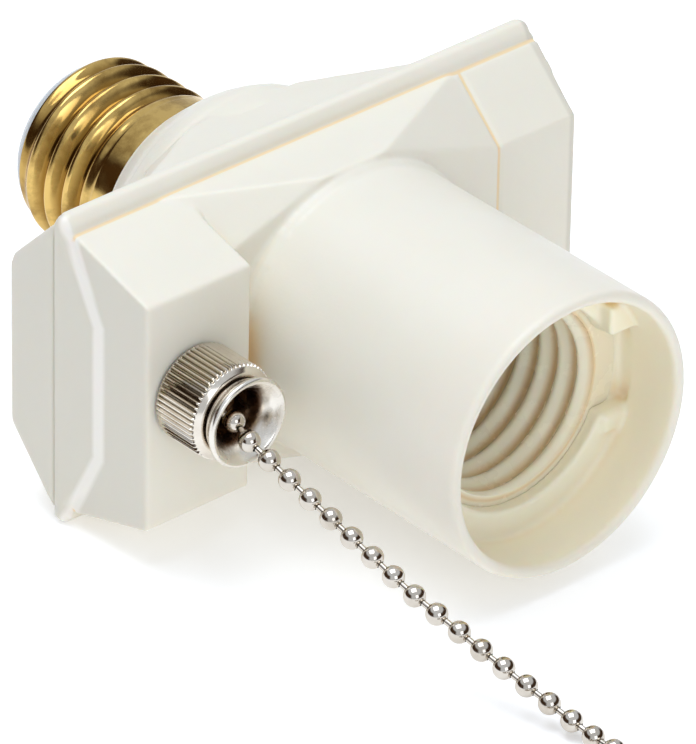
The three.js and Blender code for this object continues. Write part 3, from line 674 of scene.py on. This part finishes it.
first_bead = along(chain_path, [FIRST_BEAD])[0]
inner_points = np.array([first_bead, (first_bead[0], INNER_CHAIN_END_Y + LAMP[1], OUTLET_Z + LAMP[2])])
inner_count = int(path_length(inner_points) / BEAD_PITCH)
make_piece(
    "inner_bead_chain",
    chain_shape(inner_points, inner_count, BEAD_PITCH),
    "chain",
    nickel,
    ("inner_chain",),
    origin=NO_OFFSET,
)


def pull_end_shape():
    """The small bell that closes on the last bead, turned about X."""
    half = PULL_END["length"] / 2
    radius = PULL_END["radius"]
    outline = rounded([
        (0.0, -half),
        (1.1, -half, 0.3),
        (1.25, -half + 2.0, 0.4),
        (1.9, -half + 4.2, 0.8),
        (radius, half - 1.3, 0.6),
        (radius, half - 0.4, 0.2),
        (radius - 0.45, half, 0.2),
        (radius - 1.0, half - 0.5, 0.4),
        (0.0, half - 0.8),
    ])
    vertices, faces = revolve(outline, segments=48, closed=False)
    turned = np.stack([vertices[:, 1], -vertices[:, 0], vertices[:, 2]], axis=1)
    return turned + np.array([PULL_END["x"], PULL_END["y"], radius]), faces


pull_end = make_piece(
    "bell_pull_end", pull_end_shape(), "chain", nickel, ("chain_pull_end",), origin=NO_OFFSET
)

# ---------------------------------------------------------------- housings

VOXEL = 0.36
WELD = 1e-6  # metres
SMOOTHING_STEPS = 5
SNAP_REACH = 0.2  # how far the smoothed facets are from a true circle
NECK_SNAP_REACH = 0.3
GROOVE_DEPTH = 0.3
GROOVE_HALF_WIDTH = 0.34
SLEEVE_ROOT_Y = -12.2  # the sleeve's outside is free of the fairing in front of this
SEAM_CLOSING = 0.17  # how far the rear shell's edge comes forward, so that only a fine line is left


def fine_copy(node):
    """A CAD node's shape as an even fine mesh with slightly rounded edges."""
    mesh = frame["nodes"][node].data.copy()
    work = bmesh.new()
    work.from_mesh(mesh)
    bmesh.ops.remove_doubles(work, verts=work.verts, dist=WELD)
    work.to_mesh(mesh)
    work.free()
    source = bpy.data.objects.new(node + "_fine", mesh)
    bpy.context.scene.collection.objects.link(source)
    remesh = source.modifiers.new("even", "REMESH")
    remesh.mode = "VOXEL"
    remesh.voxel_size = VOXEL * MM
    soften = source.modifiers.new("soften", "SMOOTH")
    soften.factor = 0.5
    soften.iterations = SMOOTHING_STEPS
    bpy.context.view_layer.update()
    evaluated = source.evaluated_get(bpy.context.evaluated_depsgraph_get())
    fine = bpy.data.meshes.new_from_object(evaluated)
    bpy.data.objects.remove(source)
    return fine


def lamp_points(mesh):
    flat = np.zeros(len(mesh.vertices) * 3)
    mesh.vertices.foreach_get("co", flat)
    return flat.reshape(-1, 3) / MM - LAMP


def set_lamp_points(mesh, points):
    mesh.vertices.foreach_set("co", ((points + LAMP) * MM).ravel())
    mesh.update()


def normals_of(mesh):
    flat = np.zeros(len(mesh.vertices) * 3)
    mesh.vertices.foreach_get("normal", flat)
    return flat.reshape(-1, 3)


def smooth_step(value, low, high):
    """0 below low and 1 above high, with a smooth rise between them."""
    t = np.clip((value - low) / (high - low), 0.0, 1.0)
    return t * t * (3 - 2 * t)


def snap_radius(points, near, wanted, reach, weight):
    """Moves points within reach of a radius about the lamp axis onto the wanted one."""
    radius = np.hypot(points[:, 0], points[:, 2])
    share = weight * (np.abs(radius - near) < reach)
    scale = 1 + share * (wanted - radius) / np.maximum(radius, 1e-6)
    points[:, 0] *= scale
    points[:, 2] *= scale


def groove(distance):
    """1 at the middle of a groove, 0 beside it."""
    return np.exp(-((distance / GROOVE_HALF_WIDTH) ** 2))


def front_housing_piece():
    mesh = fine_copy("front_housing")
    points = lamp_points(mesh)
    y = points[:, 1]
    before_fairing = smooth_step(-y, -SLEEVE_ROOT_Y, -SLEEVE_ROOT_Y + 1.0)
    outside = smooth_step(y, MOUTH_Y + 0.5, MOUTH_Y + 1.1) * before_fairing
    snap_radius(points, SLEEVE_RADIUS, SLEEVE_RADIUS, SNAP_REACH, outside)
    bore = smooth_step(y, MOUTH_Y + 1.0, MOUTH_Y + 1.6) * smooth_step(-y, -LEDGE_Y + 0.4, -LEDGE_Y + 0.9)
    snap_radius(points, MOUTH_BORE, MOUTH_BORE, SNAP_REACH, bore)
    beside_wing = groove(points[:, 0] - FAIRING_END_X) * smooth_step(-y, 0.7, 1.2)
    beside_rib = groove(y - RIB_SEAM_Y) * smooth_step(np.abs(points[:, 2]), *RIB_FOOT)
    depth = GROOVE_DEPTH * np.maximum(beside_wing, beside_rib)
    points -= normals_of(mesh) * depth[:, None]
    set_lamp_points(mesh, points)
    mesh.shade_smooth()
    return as_object("front_shell", mesh, "lampholder", ivory, ("front_housing",))


NECK = np.array([  # y and radius
    (10.0, 20.9),
    (12.6, 20.9),
    (14.6, 20.5),
    (17.4, 19.1),
    (19.6, 17.5),
    (21.5, 15.9),
    (22.9, 14.6),
    (23.5, 14.0),
])
NECK_STEPS = [(16.2, 0.14), (18.9, 0.16), (21.4, 0.18)]  # y and height of each ring on the neck


def rear_housing_piece():
    mesh = fine_copy("rear_housing")
    points = lamp_points(mesh)
    points[:, 1] -= SEAM_CLOSING * smooth_step(-points[:, 1], -PARTING_Y - 1.4, -PARTING_Y - 0.5)
    y = points[:, 1]
    faceted = np.interp(y, NECK[:, 0], NECK[:, 1])
    rings = sum(height * (smooth_step(-y, -step - 0.12, -step + 0.12) - 0.5) for step, height in NECK_STEPS)
    neck = smooth_step(y, 12.6, 13.6) * smooth_step(-y, -23.0, -22.5)
    snap_radius(points, faceted, faceted + rings, NECK_SNAP_REACH, neck)
    set_lamp_points(mesh, points)
    mesh.shade_smooth()
    return as_object("rear_shell", mesh, "lampholder", ivory, ("rear_housing",))


front_housing_piece()
rear_housing_piece()

# ---------------------------------------------------------------- screw base

THREAD_SEGMENTS = 160
SHELL_ROWS = 190
INSERT_ROWS = 240
CURL_LENGTH = 1.4  # the shell's end curls in onto the insulator
CURL_DEPTH = 0.55
# Outlines are rows of radius, y and the cut at the corner.
INSULATOR_OUTLINE = [
    (1.8, 42.0),
    (11.2, 42.0),
    (11.2, 43.1),
    (11.7, 43.1, 0.15),
    (11.7, 44.0, 0.4),
    (10.9, 45.1, 0.5),
    (9.6, 45.7, 0.6),
    (6.4, 46.5, 0.8),
    (1.8, 46.5),
]
TIP_OUTLINE = [
    (0.0, 41.0),
    (1.5, 41.0, 0.2),
    (1.5, 46.8),
    (5.2, 46.8, 0.1),
    (5.2, 47.25, 0.25),
    (0.0, 47.25),
]


def thread_wave(angle, y, start, end):
    """A screw thread between -1 and 1, and how much of it is left near its ends."""
    fade = np.clip(np.minimum((y - start) / THREAD_PITCH, (end - y) / THREAD_PITCH), 0.0, 1.0)
    return fade, np.cos(2 * math.pi * ((y - start) / THREAD_PITCH - angle / (2 * math.pi)))


def screw_shell():
    depth = SHELL["crest"] - SHELL["root"]
    rows = np.linspace(SHELL["start"], SHELL["end"], SHELL_ROWS)
    outer = [(SHELL["crest"], y) for y in rows]
    inner = [(SHELL["inner"], SHELL["end"]), (SHELL["inner"], SHELL["start"])]

    def change(angle, radius, y):
        fade, wave = thread_wave(angle, y, SHELL["thread"], SHELL["end"] + 1.0)
        curl = np.clip((y - SHELL["end"] + CURL_LENGTH) / CURL_LENGTH, 0.0, 1.0)
        valley = 0.5 - 0.5 * wave
        return (radius > SHELL["inner"] + 0.1) * (-depth * fade * valley - CURL_DEPTH * curl**2)

    return revolve(outer + inner, THREAD_SEGMENTS, change)


make_piece("brass_screw_shell", screw_shell(), "lampholder", shell_brass, ("base_shell",))
make_piece(
    "end_insulator",
    revolve(rounded(INSULATOR_OUTLINE), segments=96),
    "lampholder",
    insulator,
    ("base_insulator",),
)
make_piece(
    "tip_contact",
    revolve(rounded(TIP_OUTLINE), segments=64, closed=False),
    "lampholder",
    brass,
    ("base_tip_contact",),
)

# ---------------------------------------------------------------- lamp socket

FLANGE_DEPTH = 1.5


def thread_insert():
    rows = np.linspace(INSERT["back"], INSERT["front"], INSERT_ROWS)
    inner = [(INSERT["root"], y) for y in rows]
    outer = [
        (INSERT["flange"], INSERT["front"]),
        (INSERT["flange"], INSERT["front"] + FLANGE_DEPTH),
        (INSERT["radius"], INSERT["front"] + FLANGE_DEPTH),
        (INSERT["radius"], INSERT["back"]),
    ]
    depth = INSERT["root"] - INSERT["crest"]

    def change(angle, radius, y):
        fade, wave = thread_wave(angle, y, INSERT["front"] - 2.0, INSERT["back"])
        ridge = 0.5 + 0.5 * wave
        return np.where(radius < INSERT["root"] + 0.1, -depth * fade * ridge, 0.0)

    return revolve(inner + outer, THREAD_SEGMENTS, change)


make_piece(
    "threaded_insert", thread_insert(), "lampholder", cream, ("socket_thread_insert",)
)

# ---------------------------------------------------------------- chain outlet

STEPS_PER_TOOTH = 10
BELLMOUTH_OUTLINE = [
    (3.2, -18.9),
    (4.4, -18.9),
    (4.4, -23.9),
    (5.4, -24.0, 0.2),
    (5.5, -24.5, 0.2),
    (5.8, -25.0, 0.25),
    (6.25, -25.6, 0.25),
    (6.32, -26.1, 0.2),
    (6.0, -26.4, 0.2),
    (5.5, -26.2, 0.2),
    (4.7, -25.3, 0.5),
    (3.9, -24.0, 0.6),
    (3.4, -22.4, 0.6),
]


def knurled_nut():
    outline = rounded([
        (NUT["bore"], NUT["front"], 0.3),
        (NUT["radius"] - 1.0, NUT["front"], 0.25),
        (NUT["radius"] - 0.32, NUT["front"] + 0.65, 0.15),
        (NUT["radius"], NUT["front"] + 1.1, 0.1),
        (NUT["radius"], NUT["back"] - 0.35, 0.2),
        (NUT["radius"] - 0.35, NUT["back"], 0.1),
        (NUT["bore"], NUT["back"], 0.3),
    ])

    def change(angle, radius, y):
        flank = np.clip(1.5 * np.cos(NUT["teeth"] * angle) - 0.1, -1.0, 1.0)
        outermost = smooth_step(radius, NUT["radius"] - 0.34, NUT["radius"] - 0.02)
        return -NUT["depth"] * outermost * (0.5 - 0.5 * flank)

    return at_outlet(revolve(outline, NUT["teeth"] * STEPS_PER_TOOTH, change))


make_piece("knurled_ring_nut", knurled_nut(), "lampholder", knurled_nickel, ("knurled_nut",))
make_piece(
    "bellmouth",
    at_outlet(revolve(rounded(BELLMOUTH_OUTLINE), segments=128)),
    "lampholder",
    satin_nickel,
    ("chain_bellmouth",),
)

# ---------------------------------------------------------------- stage and light


COOL = (0.94, 0.99, 1.07)  # light a little cooler than the plastic, so that only shaded hollows look warm
FLAG = (0.085, 0.05, 0.03)
FLAG_SIDE = (0.42, 0.62)  # how far to the side of the view the flags begin
FLAG_TOP = (0.62, 0.48)
FLAG_FOOT = (-0.05, 0.05)
SKY_STRENGTH = 0.72
FLOOR_SIZE = 4.0  # metres, from the middle
FLOOR_GLOW = 0.27
LIT_POINT = Vector((0.0, 0.0, 0.02))


def make_floor():
    mesh = bpy.data.meshes.new("floor")
    corners = [(x * FLOOR_SIZE, y * FLOOR_SIZE, 0) for x, y in ((-1, -1), (1, -1), (1, 1), (-1, 1))]
    mesh.from_pydata(corners, [], [(0, 1, 2, 3)])
    floor = bpy.data.objects.new("floor", mesh)
    bpy.context.scene.collection.objects.link(floor)
    shader = Shader("paper")
    grain = shader.noise(60.0, 3.0)
    colour = shader.mix(shader.ramp(grain, 0.3, 0.7), (0.93, 0.93, 0.93, 1.0), (0.9, 0.9, 0.9, 1.0))
    paper = shader.finish(
        Base_Color=colour,
        Roughness=0.8,
        Emission_Color=(1.0, 1.0, 1.0, 1.0),
        Emission_Strength=FLOOR_GLOW,
    )
    mesh.materials.append(paper)


def area_light(name, place, size, power):
    data = bpy.data.lights.new(name, "AREA")
    data.shape = "RECTANGLE"
    data.size, data.size_y = size, size
    data.energy = power
    data.color = COOL
    light = bpy.data.objects.new(name, data)
    bpy.context.scene.collection.objects.link(light)
    light.location = place
    light.rotation_euler = (LIT_POINT - Vector(place)).to_track_quat("-Z", "Y").to_euler()


def make_world():
    """A pale studio: bright overhead and behind the camera, with a dark flag on each side."""
    world = bpy.data.worlds.new("studio")
    bpy.context.scene.world = world
    world.use_nodes = True
    tree = world.node_tree

    def node(kind, inputs, **properties):
        made = tree.nodes.new(kind)
        for key, value in properties.items():
            setattr(made, key, value)
        for key, value in inputs.items():
            if isinstance(value, bpy.types.NodeSocket):
                tree.links.new(value, made.inputs[key])
            else:
                made.inputs[key].default_value = value
        return made

    def span(value, low, high):
        """0 at low and 1 at high."""
        inputs = {"Value": value, "From Min": low, "From Max": high}
        return node("ShaderNodeMapRange", inputs).outputs["Result"]

    direction = node("ShaderNodeTexCoord", {}).outputs["Generated"]
    height = node("ShaderNodeSeparateXYZ", {"Vector": direction}).outputs["Z"]
    azimuth = math.radians(VIEW["azimuth"])
    sideways = (math.cos(azimuth), math.sin(azimuth), 0.0)
    across = node("ShaderNodeVectorMath", {0: direction, 1: sideways}, operation="DOT_PRODUCT")
    aside = node("ShaderNodeMath", {0: across.outputs["Value"], 1: 0.0}, operation="ABSOLUTE").outputs[0]
    flag = span(aside, *FLAG_SIDE)
    for limit in (FLAG_TOP, FLAG_FOOT):
        inputs = {0: flag, 1: span(height, *limit)}
        flag = node("ShaderNodeMath", inputs, operation="MULTIPLY").outputs[0]
    colour = node("ShaderNodeMix", {"Factor": flag, 6: (*COOL, 1.0), 7: (*FLAG, 1.0)}, data_type="RGBA")
    background = tree.nodes["Background"]
    tree.links.new(colour.outputs[2], background.inputs["Color"])
    background.inputs["Strength"].default_value = SKY_STRENGTH


make_floor()
make_world()
area_light("key", (-0.09, 0.05, 0.8), size=0.6, power=3.4)
area_light("fill", (-0.2, -0.8, 0.35), size=0.4, power=0.9)
bpy.context.scene.view_settings.view_transform = "Standard"
